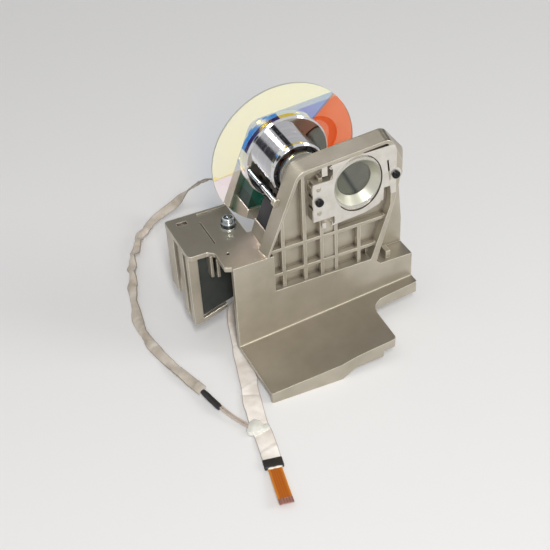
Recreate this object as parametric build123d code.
from build123d import *
import os
from math import asin, cos, degrees, radians, sin, tan

os.makedirs("parts", exist_ok=True)

# Millimetres. X runs along the wall, Y from the shelf towards the disc, Z up from the table.

# Levels and planes of the casting
axis_z = 93.0          # height of the wheel's axis, which lies on X = 0
wing_z = 56.1          # top of the side wing
ledge_z = 29.7         # top of the right-hand ledge
pocket_z = 34.4        # lower edge of the ribbed pocket
wall_front = -6.6      # front face of the wall and of the tray's rim
wall_left = -41.4
wall_right = 57.4
wall_t = 3.0
tray_depth = 8.1       # from the rim's front to the tray's back
floor_t = 3.0          # tray floor
rim_t = 1.6
rib_t = 1.8
rib_drop = 1.5         # rib fronts below the rim's front
column_drop = 2.3      # front of the wide column below the rim's front
column_top = 68.0
clip_pad_x = (1.4, 12.4)      # pad that carries the clip's tab
clip_pad_z = (69.2, 90.2)
notch_zs = (76.6, 83.1, 89.3)
notch_half = 1.2
notch_right = 2.6
deep_cell = (28.15, 32.9, 41.6)   # deeper corner of the pocket: left, right and top
deep_cell_t = 1.0      # metal left behind it
cast_clear = 0.15      # clearance of a loose fit in the casting

# Stack on the wheel's axis, from the tray's back to the disc
base_t = 2.7
base_inset = 3.0       # of the fixed base inside the can
spigot_r = 5.0
spigot_len = 1.6
rotor_gap = 0.4        # between the fixed base and the turning can
can_r = 14.0
can_len = 12.1
can_wall = 1.2
can_chamfer = 0.9
hub_r = 22.1
hub_len = 3.75
hub_chamfer = 0.8
shaft_r = 1.5
shaft_float = 0.3      # between the shaft's end and the bearing's foot
bearing_r = 3.0
bearing_tube_t = 1.2
bearing_sink = 1.2     # of the bearing into the base
bearing_short = 3.0    # of the bearing, less than the can's length
can_face_t = 1.2
lead_tab_half = 4.2    # half width of the base's tab, where the motor lead leaves
lead_tab_drop = 1.0    # of that tab below the base's round edge
slots = 9
core_share = 0.276     # of the slots' depth that the core's back takes up
shoe_share = 0.2       # and that the shoes at the teeth's ends take up
tooth_half = 1.0
shoe_half = 3.0
coil_t = 0.9
coil_end = 1.2         # of a coil past the core's ends
running_gap = 0.03
magnet_t = 1.0
stator_gap = 0.35
wheel_r = 37.5
glass_t = 1.1
glass_inner_r = 12.5
glass_joint = 0.1      # bond line between two sectors
cap_r = 18.0
cap_t = 1.6
cap_chamfer = 0.5

# Light aperture
aperture_x = 26.0
aperture_z = 83.6
seat_r = 14.35         # bore that the lens and its ring sit in
seat_wall = 2.0
lip_r = 12.6           # clear bore behind the lens
lip_t = 1.2
lens_edge_t = 1.8
lens_crown = 1.1
ring_wall = 1.5
clip_hold = 1.25       # of the clip's opening inside the seat at its sides
clip_relief = 1.35     # and outside it above and below

# Clip and its screws
clip_t = 0.5
clip_screw_left = (aperture_x - 21.2, aperture_z - 3.8)
clip_screw_right = (aperture_x + 20.3, aperture_z - 1.0)
clip_screw_r = 1.0
clip_head_r = 2.1
clip_head_t = 1.5
clip_screw_depth = 3.6
clip_driver_slot = (0.9, 0.2, 0.7)   # half length, half width and floor of a screw's recess
clip_boss_r = 4.2      # boss of the right-hand screw
clip_ear_r = 3.3       # and the clip's round ear on it
pip_r = 1.1
pip_rises = (-6.5, 7.1)   # of the two pips above the left-hand screw
clip_outline = [       # corners of the sheet from the aperture's centre, along X and Z, in seat radii
    (-1.7003, -1.0244), (-1.7003, 0.4599), (-0.9477, 0.4739), (-0.9477, 0.8780),
    (-1.0732, 0.9338), (-0.9477, 1.0383), (0.1394, 1.1150), (1.3659, 1.1289),
    (1.4495, 0.8990), (1.4495, -0.8223), (1.2474, -0.8223), (1.2125, -0.4878),
    (0.9756, -0.4878), (0.9547, -0.9756), (0.8780, -0.9756), (0.7944, -1.0871),
    (0.2369, -1.2683), (-1.0732, -1.3798), (-0.9129, -1.3240), (-0.9129, -1.0244),
]
clip_slit = [(1.0732, 0.5714), (1.1359, 0.5854), (1.2404, -0.2509), (1.1777, -0.2648)]

# Shelf
shelf_z = 9.96         # top of the shelf on X = 0
shelf_slope = 5.134    # degrees, rising with X
shelf_t = 2.2
apron_t = 2.4
shelf_front = -45.5
shelf_right = 28.9

# Wing and its finned box
wing_left = -57.2
wing_right = -23.6
wing_back = 45.6
wing_front = 12.9
wing_t = 2.5
wing_slot = (-41.6, -40.8, 16.6, 36.2)     # shallow slot in the wing's top
wing_slot_depth = 0.7
wing_bar = (-40.4, -24.7, 42.6, 43.6)      # low bar along its back edge
wing_bar_rise = 0.9
wing_window = (-52.2, -46.9, 38.3, 41.2)   # blind window near its corner
wing_window_depth = 1.6
wing_hole = (-38.75, 5.9)
wing_hole_r = 0.9
box_wall = 2.0
box_left = -55.4
box_side_z = 20.0      # feet of the box's side, back and three fins
box_back_z = 26.0
back_fin = (-55.0, 33.5, 43.6, 19.6)       # right-hand face, two ends along Y and foot
middle_fin = (-55.0, 21.0, 26.5, 13.0)
front_fin = (-52.3, wing_front, 17.0, 12.2)
panel_y = 15.2
panel_x = (-53.0, -39.0)
panel_z = (14.6, 19.4)
rail_t = 2.4
inner_ribs = ((-46.2, 9.6), (-43.4, 8.2))  # middle and front end of the two ribs in the box's mouth
inner_rib_half = 0.7
inner_rib_z = 42.0

# Rear feet
foot_holes_x = (-16.0, 40.0)
foot_hole_y = 22.0
foot_hole_r = 1.7
foot_r = 6.0
foot_t = 3.0
gusset_t = 2.6
gusset_z = 34.0
gusset_inset = 4.0     # of the gussets' toe before the foot's hole
foot_rib_t = 1.6
foot_rib_z = 20.0

# Right-hand ledge and the plate behind it
ledge_left = 38.0
ledge_foot = 12.0
ledge_depth = 6.9      # behind the tray's back
rear_plate_t = 3.0
rear_plate_top = 71.0
strut_left = 34.0
strut_width = 4.5

# Screw stack on the wing
stack_x = -29.6
stack_y = 26.5
stack_hole_r = 1.6
stack_thread_r = 1.45
lower_washer_r = 4.1
washer_t = 0.8
washer_bore_r = 1.7
sleeve_r = 2.7
sleeve_len = 2.0
upper_washer_r = 3.8
head_r = 2.9
head_t = 2.3
head_round = 0.9
head_cross = (1.5, 0.3, 1.2)   # half length, half width and depth of its cross
screw_past = 2.0       # of the screw below the wing

# Sensor holder, sensor and the boss under them
boss_back = 16.5
boss_right = -10.0
sensor_clear = 1.7     # between the sensor and the hub
side_lean = (0.928, -0.372)   # outward normal of the tray's leaning side, as X and Z
side_offset = -6.93           # of the holder's face along that normal, from the wheel's axis
holder_back = 14.9
holder_top = 76.6
holder_step = 2.9
holder_right = -8.0
arm_t = 3.0
arm_back = 19.4
arm_x = (-12.0, -4.0)
board_t = 1.0
sensor_size = (4.0, 3.2, 1.4)
post_bar = (-14.2, 81.5)
post_bar_r = 1.25
post_bar_end = 16.0
post_boss_wall = 1.0
post_sink = 1.5

# Leads
ribbon_r = 1.0
lead_r = 1.1
band_len = 4.6
band_width = 8.2
band_t = 2.2
band_round = 0.5
end_gap = 0.05         # between the pieces on the motor lead's end
tail_len = 20.5
tail_width = 6.6
tail_t = 0.4
tail_lift = 5.0        # degrees
contacts_len = 3.2
contacts_rise = 0.2    # thicker than the tail
shrink_len = 14.0
shrink_r = 1.8
wire_r = 0.45
wire_half_gap = 0.55
blob_x = -52.4
blob_y = -59.0
blob_r = 4.9
blob_h = 3.2
blob_z = 0.1           # its foot

# Derived planes
tray_back = wall_front + tray_depth
base_r = can_r - base_inset
pip_zs = [clip_screw_left[1] + rise for rise in pip_rises]
clip_open_x = seat_r - clip_hold
clip_open_z = seat_r + clip_relief
sensor_z0 = axis_z - hub_r - sensor_clear - sensor_size[2]
board_z = sensor_z0 - board_t
boss_z = board_z - arm_t   # top of the boss, foot of the holder's arm
ledge_back = tray_back + ledge_depth
floor_front = tray_back - floor_t
wall_back = wall_front + wall_t
rib_front = wall_front + rib_drop
can_front = tray_back + base_t + rotor_gap
hub_front = can_front + can_len
glass_front = hub_front + hub_len
glass_back = glass_front + glass_t
slope_tan = tan(radians(shelf_slope))


def shelf_top(x, drop=0.0):
    """Height of the sloping shelf's top at x, less a drop."""
    return shelf_z + slope_tan * x - drop


def face_xz(points, radii=None):
    """Face in the XZ plane from (x, z) corners, each with its own corner radius."""
    corners = [(x, 0, z) for x, z in points]
    if radii is None:
        return make_face(Polyline(*corners, close=True))
    return make_face(FilletPolyline(*corners, radius=radii, close=True))


def slab_xz(points, y0, y1, radii=None):
    """Plate between two Y planes with an outline of (x, z) corners."""
    return extrude(Pos(0, y1, 0) * face_xz(points, radii), amount=y1 - y0, dir=(0, -1, 0))


def slab_xy(points, z0, z1, radii=None):
    """Plate between two heights with an outline of (x, y) corners."""
    line = FilletPolyline(*points, radius=radii, close=True) if radii else Polyline(*points, close=True)
    return extrude(Pos(0, 0, z0) * make_face(line), amount=z1 - z0, dir=(0, 0, 1))


def slab_yz(points, x0, x1):
    """Plate between two X planes with an outline of (y, z) corners."""
    face = make_face(Polyline(*[(x0, y, z) for y, z in points], close=True))
    return extrude(face, amount=x1 - x0, dir=(1, 0, 0))


def block(x0, x1, y0, y1, z0, z1):
    """Box between three pairs of planes."""
    return Pos((x0 + x1) / 2, (y0 + y1) / 2, (z0 + z1) / 2) * Box(x1 - x0, y1 - y0, z1 - z0)


def rod_y(x, z, r, y0, y1):
    """Round bar along Y."""
    return Pos(x, (y0 + y1) / 2, z) * Rot(X=90) * Cylinder(r, y1 - y0)


def rod_z(x, y, r, z0, z1):
    """Round bar along Z."""
    return Pos(x, y, (z0 + z1) / 2) * Cylinder(r, z1 - z0)


def turned_y(x, z, profile):
    """Piece turned about a Y axis through (x, z), from (radius, y) corners."""
    face = make_face(Polyline(*[(r, y, 0) for r, y in profile], close=True))
    return Pos(x, 0, z) * revolve(face, axis=Axis.Y)


def save(node, shape):
    """Write one sub-part under its node name."""
    export_step(shape, f"parts/{node}.step")


# Tray: a dished plate whose sides flare from the rim's front to its back
tray_front_outline = [
    (-22.0, pocket_z - wall_t), (-23.4, wing_z), (-5.5, 98.9), (44.0, 102.9),
    (50.6, 88.0), (48.6, 76.0), (46.0, 64.8), (34.9 + rim_t, pocket_z - wall_t),
]
tray_flare = [(-1.2, 0), (-1.0, 0), (-1.0, 2.3), (-0.6, 2.4), (4.6, 2.2), (6.6, 1.0), (4.0, 0), (2.0, 0)]
tray_radii = [1.0, 2.0, 7.0, 5.0, 6.0, 4.0, 3.0, 1.0]
pocket_outline = [
    (-20.0, pocket_z), (-22.1, wing_z + 0.6), (-4.4, 97.0), (43.4, 101.2),
    (44.6, 78.0), (44.0, 64.4), (33.4, pocket_z),
]
pocket_radii = [0.8, 1.0, 5.6, 3.0, 1.0, 1.0, 0.8]
rib_xs = (-14.2, -2.5, 6.7, 14.5, 27.25)
rib_tops = (78.0, 99.5, 92.0, 68.0, 57.4)
rib_zs = (42.5, 57.4)


def tray():
    """Rim, floor, ribs, column and bosses of the dished part of the casting."""
    back_outline = [(x + dx, z + dz) for (x, z), (dx, dz) in zip(tray_front_outline, tray_flare)]
    front = Pos(0, wall_front, 0) * face_xz(tray_front_outline, tray_radii)
    back = Pos(0, tray_back, 0) * face_xz(back_outline, tray_radii)
    shell = loft([front, back], ruled=True)
    shell -= slab_xz(pocket_outline, wall_front - 1, floor_front, pocket_radii)
    inside = slab_xz(pocket_outline, wall_front, floor_front + 1, pocket_radii)
    ribs = Part()
    for x, top in zip(rib_xs, rib_tops):
        ribs += block(x - rib_t / 2, x + rib_t / 2, rib_front, tray_back - 1, pocket_z - 1, top)
    for z in rib_zs:
        ribs += block(-30, 50, rib_front, tray_back - 1, z - rib_t / 2, z + rib_t / 2)
    ribs += block(rib_xs[2], rib_xs[3], wall_front + column_drop, tray_back - 1, pocket_z, column_top)
    shell += ribs & inside
    pad = block(*clip_pad_x, wall_front, tray_back - 1, *clip_pad_z)
    for z in notch_zs:
        pad -= block(clip_pad_x[0] - 1, notch_right, wall_front - 1, floor_front - 0.6,
                     z - notch_half, z + notch_half)
    shell += pad
    left, right, top = deep_cell
    shell -= block(left, right, floor_front - 1, tray_back - deep_cell_t, pocket_z, top)
    shell += rod_y(aperture_x, aperture_z, seat_r + seat_wall, wall_front, tray_back)
    shell += rod_y(*clip_screw_right, clip_boss_r, wall_front, tray_back)
    shell += rod_y(*post_bar, post_bar_r + post_boss_wall, tray_back - post_sink - 1, tray_back)
    return shell


def shelf():
    """Sloping shelf with its turned-down apron and its foot at the front left."""
    deep = wall_back
    outline = [
        (wall_left, deep), (wall_left, shelf_front + 0.9), (-4.0, shelf_front), (5.5, shelf_front + 1.2),
        (shelf_right - 1.2, shelf_front + 1.9), (shelf_right, -14.2), (wall_right, -12.6),
        (wall_right, deep),
    ]
    inner = [
        (wall_left - 1, deep), (wall_left - 1, shelf_front + apron_t),
        (shelf_right - apron_t, shelf_front + 1.9 + apron_t), (shelf_right - apron_t, -14.2 + apron_t),
        (wall_right - apron_t, -12.6 + apron_t), (wall_right - apron_t, deep),
    ]
    ends = (wall_left - 2, wall_right + 2)
    top = [(x, -1) for x in ends] + [(x, shelf_top(x)) for x in reversed(ends)]
    under = [(x, -2) for x in ends] + [(x, shelf_top(x, shelf_t)) for x in reversed(ends)]
    solid = slab_xy(outline, 0, 20, [0, 1.2, 2.0, 2.0, 2.0, 9.0, 1.0, 0]) & slab_xz(top, -60, deep)
    solid -= slab_xy(inner, -1, 20, [0, 0, 1.0, 9.0, 1.0, 0]) & slab_xz(under, -60, deep)
    relief = [
        (-3.4, -1), (-3.4, 0), (4.6, 3.6), (20.2, 3.6), (20.6, 7.0), (wall_right + 1, 8.4),
        (wall_right + 1, -1),
    ]
    return solid - slab_xz(relief, -60, deep)


def wing():
    """Side wing with the finned box that hangs from it."""
    low = wing_z - wing_t
    plan = [
        (wing_left, wing_back), (wing_right, wing_back), (wing_right, boss_back + 1),
        (boss_right, boss_back + 1), (boss_right, floor_front + 1), (-22.5, floor_front + 1),
        (-22.5, wall_front), (wall_left, wall_front),
        (wall_left, wall_front + 1.6), (-44.6, wall_front + 3.2), (-44.2, 9.1), (-47.2, wing_front - 1.2),
        (wing_left + 1.4, wing_front - 1.0), (wing_left, wing_front + 0.4),
    ]
    plate = slab_xy(plan, low, wing_z, [1.6, 0.8, 0.5, 0.5, 0, 0, 0, 0, 0.4, 0.8, 1.6, 1.6, 0.8, 0.8])
    box_end = wing_back - 1
    box = block(box_left, box_left + box_wall, wing_front, box_end, box_side_z, low + 1)
    box += block(box_left, wing_right - 1, box_end - box_wall, box_end, box_back_z, low + 1)
    for right, start, end, foot in (back_fin, middle_fin, front_fin):
        box += block(wing_left, right, start, end, foot, low + 1)
    left, right = panel_x
    panel = [(left, panel_z[0]), (left, low + 1), (right, low + 1), (right, panel_z[1])]
    box += slab_xz(panel, panel_y, panel_y + box_wall)
    rail = [
        (left, panel_z[0] - rail_t), (left, panel_z[0]), (right, panel_z[1]),
        (right, panel_z[1] - rail_t),
    ]
    box += slab_xz(rail, wing_front, panel_y + box_wall)
    for x, front in inner_ribs:
        box += block(x - inner_rib_half, x + inner_rib_half, front, panel_y + 0.8, inner_rib_z, low + 1)
    body = plate + box
    body -= block(*wing_slot, wing_z - wing_slot_depth, wing_z + 1)
    body += block(*wing_bar, wing_z - 0.5, wing_z + wing_bar_rise)
    body -= block(*wing_window, wing_z - wing_window_depth, wing_z + 1)
    body -= rod_z(*wing_hole, wing_hole_r, low - 1, wing_z + 1)
    body -= rod_z(stack_x, stack_y, stack_hole_r, low - 5, wing_z + 1)
    return body


def side_x(z, offset=side_offset):
    """X of a face that leans like the tray's side, at height z."""
    return (offset - side_lean[1] * (z - axis_z)) / side_lean[0]


def rear_support():
    """Ledge, rear plate and the two rear feet with their gussets."""
    under = ledge_z - wall_t
    body = block(ledge_left, wall_right, wall_front, wall_back, ledge_foot, ledge_z)
    body += block(ledge_left, wall_right, wall_front, ledge_back, under, ledge_z)
    plate = [
        (strut_left, under), (wall_right, under), (wall_right, 45.0), (55.2, rear_plate_top),
        (44.0, rear_plate_top),
    ]
    body += slab_xz(plate, ledge_back - rear_plate_t, ledge_back)
    strut = [
        (strut_left, under), (strut_left + strut_width, under), (53.0, rear_plate_top),
        (53.0 - strut_width - 0.5, rear_plate_top),
    ]
    body += slab_xz(strut, tray_back - 1, ledge_back)
    gusset_end = foot_hole_y - gusset_inset
    for x in foot_holes_x:
        body += rod_z(x, foot_hole_y, foot_r, 0, foot_t)
        body += block(x - foot_r, x + foot_r, wall_back - 1, foot_hole_y, 0, foot_t)
        side = [
            (wall_back - 0.5, 0), (wall_back - 0.5, gusset_z), (tray_back, gusset_z), (gusset_end, foot_t),
            (gusset_end, 0),
        ]
        body += slab_yz(side, x - foot_r, x - foot_r + gusset_t)
        body += slab_yz(side, x + foot_r - gusset_t, x + foot_r)
        body += block(x - foot_r, x + foot_r, wall_back - 1, wall_back + foot_rib_t, 0, foot_rib_z)
        body -= rod_z(x, foot_hole_y, foot_hole_r, -1, foot_t + 1)
    return body


def cast_bracket():
    """The whole die casting."""
    wall = [
        (wall_left, shelf_top(wall_left, shelf_t)), (wall_left, wing_z), (-20.0, wing_z),
        (-20.0, pocket_z - 0.6), (35.0, pocket_z - 0.6), (39.0, ledge_z), (wall_right, ledge_z),
        (wall_right, shelf_top(wall_right, shelf_t)),
    ]
    body = tray() + slab_xz(wall, wall_front, wall_back) + shelf() + wing() + rear_support()
    boss = [
        (side_x(wing_z) + 0.3, wing_z - 1), (boss_right, wing_z - 1), (boss_right, boss_z),
        (side_x(boss_z), boss_z),
    ]
    body += slab_xz(boss, tray_back - 1, boss_back)
    body -= rod_y(aperture_x, aperture_z, seat_r, wall_front - 1, tray_back - lip_t)
    body -= rod_y(aperture_x, aperture_z, lip_r, wall_front - 1, tray_back + 10)
    body -= rod_y(0, axis_z, spigot_r + cast_clear, tray_back - spigot_len - cast_clear, tray_back + 1)
    for x, z in (clip_screw_left, clip_screw_right):
        body -= rod_y(x, z, clip_screw_r + 0.05, wall_front - 1, wall_front + clip_screw_depth)
    for z in pip_zs:
        body += rod_y(clip_screw_left[0], z, pip_r, wall_front - clip_t, wall_front + 1)
    body -= rod_y(*post_bar, post_bar_r, tray_back - post_sink, tray_back + 1)
    return body


casting = cast_bracket()
save("cast_bracket", casting)


def from_seat(points):
    """Corners given in seat radii from the aperture's centre, as X and Z."""
    return [(aperture_x + x * seat_r, aperture_z + z * seat_r) for x, z in points]


def clip_plate():
    """Sprung sheet clip: a tab on the left, an oval opening, a slit strip on the right."""
    y0 = wall_front - clip_t
    plate = slab_xz(from_seat(clip_outline), y0, wall_front)
    plate += rod_y(*clip_screw_right, clip_ear_r, y0, wall_front)
    opening = Pos(aperture_x, wall_front, aperture_z) * Rot(X=90) * Ellipse(clip_open_x, clip_open_z)
    plate -= extrude(opening, amount=3, both=True)
    plate -= slab_xz(from_seat(clip_slit), y0 - 1, wall_front + 1)
    for x, z in (clip_screw_left, clip_screw_right):
        plate -= rod_y(x, z, clip_screw_r + cast_clear, y0 - 1, wall_front + 1)
    for z in pip_zs:
        plate -= rod_y(clip_screw_left[0], z, pip_r + cast_clear, y0 - 1, wall_front + 1)
    return plate


save("clip_plate", clip_plate())


def clip_screw(x, z):
    """Small pan-head screw that holds the clip."""
    seat = wall_front - clip_t
    screw = rod_y(x, z, clip_head_r, seat - clip_head_t, seat)
    screw = fillet(screw.faces().sort_by(Axis.Y)[0].edges(), 0.5)
    screw += rod_y(x, z, clip_screw_r, seat, wall_front + clip_screw_depth - 0.3)
    long, short, floor = clip_driver_slot
    for half_x, half_z in ((long, short), (short, long)):
        screw -= block(x - half_x, x + half_x, seat - clip_head_t - 1, seat - floor, z - half_z, z + half_z)
    return screw


save("clip_screws", Compound(children=[clip_screw(*clip_screw_left), clip_screw(*clip_screw_right)]))

lens_back = tray_back - lip_t
lens_r = seat_r - cast_clear
lens_front = lens_back - lens_edge_t
save("lens_ring", turned_y(aperture_x, aperture_z, [
    (lens_r - ring_wall, wall_front), (lens_r, wall_front), (lens_r, lens_front),
    (lens_r - ring_wall, lens_front),
]))


def aperture_lens():
    """Plano-convex lens with a flat edge, its crown towards the front."""
    clear_r = lens_r - ring_wall - 0.2
    crown_r = (clear_r ** 2 + lens_crown ** 2) / (2 * lens_crown)
    crown = Pos(aperture_x, lens_front - lens_crown + crown_r, aperture_z) * Sphere(crown_r)
    crown &= rod_y(aperture_x, aperture_z, clear_r, lens_front - lens_crown - 1, lens_front + 0.5)
    return rod_y(aperture_x, aperture_z, lens_r, lens_front, lens_back) + crown


save("aperture_lens", aperture_lens())

# Motor: fixed base, bearing, shaft, stator; turning can, magnet, hub and disc
base_back = tray_back + base_t
bearing_foot = base_back - bearing_sink
bearing_end = base_back + can_len - bearing_short
bearing_tube_r = bearing_r + bearing_tube_t
lead_tab_z = axis_z - base_r - lead_tab_drop
base = turned_y(0, axis_z, [
    (0, tray_back - spigot_len), (spigot_r, tray_back - spigot_len), (spigot_r, tray_back),
    (base_r, tray_back), (base_r, base_back), (bearing_tube_r, base_back), (bearing_tube_r, bearing_end),
    (bearing_r, bearing_end), (bearing_r, bearing_foot), (0, bearing_foot),
])
base += block(-lead_tab_half, lead_tab_half, tray_back, base_back, lead_tab_z, axis_z - base_r + 2.0)
save("motor_base", base)
shaft_start = bearing_foot + shaft_float
save("sleeve_bearing", turned_y(0, axis_z, [
    (shaft_r + running_gap, bearing_foot), (bearing_r, bearing_foot), (bearing_r, bearing_end),
    (shaft_r + running_gap, bearing_end),
]))
stator_r = can_r - can_wall - magnet_t - stator_gap
stator_y0 = base_back + 2.0
stator_y1 = bearing_end - 2.0
slot_depth = stator_r - bearing_tube_r
core_r = bearing_tube_r + core_share * slot_depth
shoe_r = stator_r - shoe_share * slot_depth


def stator_core():
    """Nine-tooth laminated core pressed on the bearing tube."""
    core = rod_y(0, axis_z, core_r, stator_y0, stator_y1)
    for i in range(slots):
        tooth = block(core_r - 0.7, shoe_r + 0.2, stator_y0, stator_y1, -tooth_half, tooth_half)
        shoe = [(shoe_r, -shoe_half), (stator_r - 0.4, -shoe_half - 0.2)]
        shoe += [(x, -z) for x, z in reversed(shoe)]
        tooth += slab_xz(shoe, stator_y0, stator_y1)
        core += Pos(0, 0, axis_z) * Rot(Y=360 / slots * i) * tooth
    return core - rod_y(0, axis_z, bearing_tube_r, stator_y0 - 1, stator_y1 + 1)


save("stator_core", stator_core())


def stator_coils():
    """Nine windings, one round each tooth."""
    coils = []
    x0 = core_r + 0.06 * slot_depth
    x1 = shoe_r - 0.06 * slot_depth
    half = tooth_half + coil_t
    for i in range(slots):
        coil = block(x0, x1, stator_y0 - coil_end, stator_y1 + coil_end, -half, half)
        coil = fillet(coil.edges().filter_by(Axis.X), coil_t - 0.1)
        coil -= block(x0 - 1, x1 + 1, stator_y0, stator_y1, -tooth_half, tooth_half)
        coils.append(Pos(0, 0, axis_z) * Rot(Y=360 / slots * i) * coil)
    return Compound(children=coils)


save("stator_coils", stator_coils())
save("motor_shaft", turned_y(0, axis_z, [
    (0, shaft_start), (shaft_r, shaft_start), (shaft_r, glass_back + cap_t), (0, glass_back + cap_t),
]))
save("rotor_can", turned_y(0, axis_z, [
    (can_r - can_wall, can_front), (can_r - can_chamfer, can_front), (can_r, can_front + can_chamfer),
    (can_r, hub_front), (shaft_r, hub_front), (shaft_r, hub_front - can_face_t),
    (can_r - can_wall, hub_front - can_face_t),
]))
magnet_r = can_r - can_wall
save("magnet_ring", turned_y(0, axis_z, [
    (magnet_r - magnet_t, can_front + 1.0), (magnet_r, can_front + 1.0), (magnet_r, hub_front - can_face_t),
    (magnet_r - magnet_t, hub_front - can_face_t),
]))
mark_depth = 0.12
mark_ends = (96.0, 158.0)
save("wheel_hub", turned_y(0, axis_z, [
    (shaft_r, hub_front), (hub_r - hub_chamfer, hub_front), (hub_r, hub_front + hub_chamfer),
    (hub_r, glass_front), (glass_inner_r - 0.1, glass_front), (glass_inner_r - 0.1, glass_back),
    (shaft_r, glass_back),
]))


def wedge(start, end, r):
    """Flat pie slice about the wheel's axis between two angles from +X towards +Z."""
    line = Line((0, 0, 0), (r * cos(radians(start)), 0, r * sin(radians(start))))
    mid = radians((start + end) / 2)
    far = (r * cos(radians(end)), 0, r * sin(radians(end)))
    arc = ThreePointArc(line @ 1, (r * cos(mid), 0, r * sin(mid)), far)
    return make_face(line + arc + Line(arc @ 1, (0, 0, 0)))


def glass_sector(start, end):
    """One coated glass sector of the disc."""
    gap = degrees(glass_joint / wheel_r) / 2
    slice_face = Pos(0, glass_front, axis_z) * wedge(start + gap, end - gap, wheel_r)
    sector = extrude(slice_face, amount=glass_t, dir=(0, 1, 0))
    return sector - rod_y(0, axis_z, glass_inner_r, glass_front - 1, glass_back + 1)


sector_ends = {"glass_blue": (42.5, 186.0), "glass_green": (186.0, 294.0), "glass_red": (294.0, 402.5)}
for node, (start, end) in sector_ends.items():
    save(node, glass_sector(start, end))

save("hub_cap", turned_y(0, axis_z, [
    (shaft_r, glass_back), (cap_r, glass_back), (cap_r, glass_back + cap_t - cap_chamfer),
    (cap_r - cap_chamfer, glass_back + cap_t), (shaft_r, glass_back + cap_t),
]))


def timing_mark():
    """Thin band of tape round part of the hub's edge."""
    y0 = hub_front + hub_chamfer + 0.2
    y1 = glass_front - 0.15
    face = Pos(0, y0, axis_z) * wedge(*mark_ends, hub_r + mark_depth)
    return extrude(face, amount=y1 - y0, dir=(0, 1, 0)) - rod_y(0, axis_z, hub_r, y0 - 1, y1 + 1)


save("timing_mark", timing_mark())

# Screw stack on the wing
z1 = wing_z + washer_t
z2 = z1 + sleeve_len
z3 = z2 + washer_t


def washer(r, z0):
    """Flat washer on the stack's axis."""
    bore = rod_z(stack_x, stack_y, washer_bore_r, z0 - 1, z0 + 2)
    return rod_z(stack_x, stack_y, r, z0, z0 + washer_t) - bore


save("lower_washer", washer(lower_washer_r, wing_z))
sleeve_bore = rod_z(stack_x, stack_y, washer_bore_r, z1 - 1, z2 + 1)
save("damper_sleeve", rod_z(stack_x, stack_y, sleeve_r, z1, z2) - sleeve_bore)
save("upper_washer", washer(upper_washer_r, z2))


def mount_screw():
    """Pan-head screw with a cross recess."""
    head = rod_z(stack_x, stack_y, head_r, z3, z3 + head_t)
    head = fillet(head.faces().sort_by(Axis.Z)[-1].edges(), head_round)
    long, short, depth = head_cross
    for half_x, half_y in ((long, short), (short, long)):
        head -= block(stack_x - half_x, stack_x + half_x, stack_y - half_y, stack_y + half_y,
                      z3 + head_t - depth, z3 + head_t + 1)
    return head + rod_z(stack_x, stack_y, stack_thread_r, wing_z - wing_t - screw_past, z3)


save("mount_screw", mount_screw())


def sensor_holder():
    """Black holder on the casting's boss, with an arm that reaches under the hub."""
    profile = [
        (side_x(boss_z), boss_z), (side_x(holder_top), holder_top), (holder_right, holder_top),
        (holder_right, boss_z),
    ]
    body = slab_xz(profile, tray_back + holder_step, holder_back, [0.4, 0.8, 0.8, 0.4])
    recessed = [(x + 1.5 if x < -12 else x, z) for x, z in profile]
    body += slab_xz(recessed, tray_back + 0.1, tray_back + holder_step)
    body += block(*arm_x, holder_back - 3, arm_back, boss_z, board_z)
    return body


save("sensor_holder", sensor_holder())
board = block(arm_x[0] + 0.5, arm_x[1] - 0.5, holder_back + 0.2, arm_back - 0.2, board_z, board_z + board_t)
save("sensor_board", board)
sensor_x = (arm_x[0] + arm_x[1]) / 2
sensor_y = (holder_back + arm_back) / 2
sensor_z = sensor_z0 + sensor_size[2] / 2
save("photo_sensor", Pos(sensor_x, sensor_y, sensor_z) * Box(*sensor_size))
post = rod_y(*post_bar, post_bar_r, tray_back - post_sink, post_bar_end)
save("sensor_post", chamfer(post.faces().sort_by(Axis.Y)[-1].edges(), 0.3))


def cord_path(points):
    """Straight runs joined by arcs as large as the runs allow, and the arcs' radii."""
    vectors = [Vector(*p) for p in points]
    radii = []
    for before, here, after in zip(vectors, vectors[1:], vectors[2:]):
        run_in = here - before
        run_out = after - here
        turn = radians(run_in.get_angle(run_out))
        radii.append(0.45 * min(run_in.length, run_out.length) / tan(turn / 2))
    return FilletPolyline(*points, radius=radii), radii


def tube(name, points, r):
    """Round tube along a cord's route."""
    path, radii = cord_path(points)
    print(name, "arc radii", [round(v, 1) for v in radii], "length", round(path.length, 1))
    start = Plane(origin=path @ 0, z_dir=path % 0)
    return sweep(start * Circle(r), path=path)


# Flat motor lead: from the base's lower edge, down behind the wall, out under the wing
ribbon_route = [
    (0.0, 2.85, lead_tab_z), (0.0, 2.85, 67.0), (-3.0, 7.0, 50.0), (-11.0, 14.0, 33.0), (-21.5, 20.5, 17.5),
    (-28.8, 24.0, 8.2), (-31.8, 18.4, 3.2), (-34.8, 8.8, 1.4), (-38.5, -2.8, 1.2), (-43.0, -16.0, 1.2),
    (-47.2, -30.5, 1.2), (-51.0, -43.5, 1.2), (-53.3, -56.0, 1.2), (-55.0, -67.5, 1.2), (-57.0, -77.7, 1.2),
]
ribbon = tube("motor_ribbon", ribbon_route, ribbon_r)
save("motor_ribbon", ribbon)

# Flat end of the motor lead
end_x, end_y, end_z = ribbon_route[-1]
end_turn = degrees(asin((Vector(*ribbon_route[-1]) - Vector(*ribbon_route[-2])).normalized().X))


def at_ribbon_end(shape, along, up=0.0):
    """Place a piece that was drawn along -Y on the end of the motor lead."""
    return Pos(end_x, end_y, end_z + up) * Rot(Z=end_turn) * Pos(0, -along, 0) * shape


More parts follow.
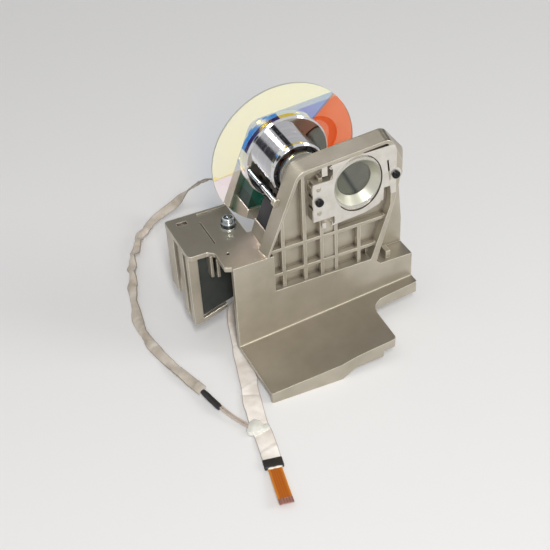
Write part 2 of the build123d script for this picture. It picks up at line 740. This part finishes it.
band = Pos(0, -band_len / 2, 0) * Box(band_width, band_len, band_t)
save("ribbon_band", at_ribbon_end(fillet(band.edges().filter_by(Axis.Y), band_round), 0))
tail = Rot(X=-tail_lift) * Pos(0, -tail_len / 2, 0) * Box(tail_width, tail_len, tail_t)
contact_strip = Box(tail_width, contacts_len, tail_t + contacts_rise)
contact_strip = Rot(X=-tail_lift) * Pos(0, -tail_len - contacts_len / 2, 0) * contact_strip
save("flex_tail", at_ribbon_end(tail, band_len + end_gap))
save("flex_contacts", at_ribbon_end(contact_strip, band_len + end_gap))

# Flat sensor lead: from under the sensor arm, down past the disc and round the back
lead_route = [
    (sensor_x, 17.0, boss_z), (sensor_x, 17.0, 54.0), (-7.5, 25.0, 45.5), (-6.2, 42.0, 43.0),
    (-5.8, 60.0, 44.6), (-7.2, 78.0, 44.4), (-11.5, 94.5, 39.6), (-15.8, 103.4, 32.4),
    (-20.0, 110.6, 25.0), (-24.0, 116.4, 17.0), (-29.6, 120.8, 9.6), (-39.0, 120.4, 6.0),
    (-49.4, 113.6, 4.6), (-59.3, 103.1, 3.8), (-65.6, 90.0, 3.0),
    (-69.8, 76.0, 2.4), (-74.6, 61.5, 1.7), (-78.3, 44.0, 1.4), (-79.3, 26.5, 1.4), (-76.7, 10.0, 1.6),
    (-73.0, -6.8, 2.0), (-69.0, -23.0, 2.6),
]
lead = tube("sensor_lead", lead_route, lead_r)
save("sensor_lead", lead)

shrink_start = Vector(*lead_route[-1])
shrink_dir = (shrink_start - Vector(*lead_route[-2])).normalized()
shrink_end = shrink_start + shrink_dir * shrink_len
shrink = extrude(Plane(origin=shrink_start, z_dir=shrink_dir) * Circle(shrink_r), amount=shrink_len)
save("heat_shrink", shrink)

wire_pair = []
for side in (-wire_half_gap, wire_half_gap):
    start = shrink_end + Vector(side, -0.1, 0)
    stop = Vector(blob_x - 3.4, blob_y + side * 1.4 + 1.6, 1.8)
    middle = (start + stop) / 2 + Vector(-0.9 + side * 0.6, -0.9, -0.2)
    wire_path = ThreePointArc(start, middle, stop)
    wire_section = Plane(origin=wire_path @ 0, z_dir=wire_path % 0) * Circle(wire_r)
    wire_pair.append(sweep(wire_section, path=wire_path))
save("lead_wires", Compound(children=[w - shrink for w in wire_pair]))


def glue_blob():
    """Domed blob of glue where the sensor's wires join the motor lead."""
    dome_r = (blob_r ** 2 + blob_h ** 2) / (2 * blob_h)
    dome = Pos(blob_x, blob_y, blob_z + blob_h - dome_r) * Sphere(dome_r)
    dome &= rod_z(blob_x, blob_y, blob_r + 1, blob_z, blob_h + 1)
    return dome - ribbon - wire_pair[0] - wire_pair[1]


save("glue_blob", glue_blob())
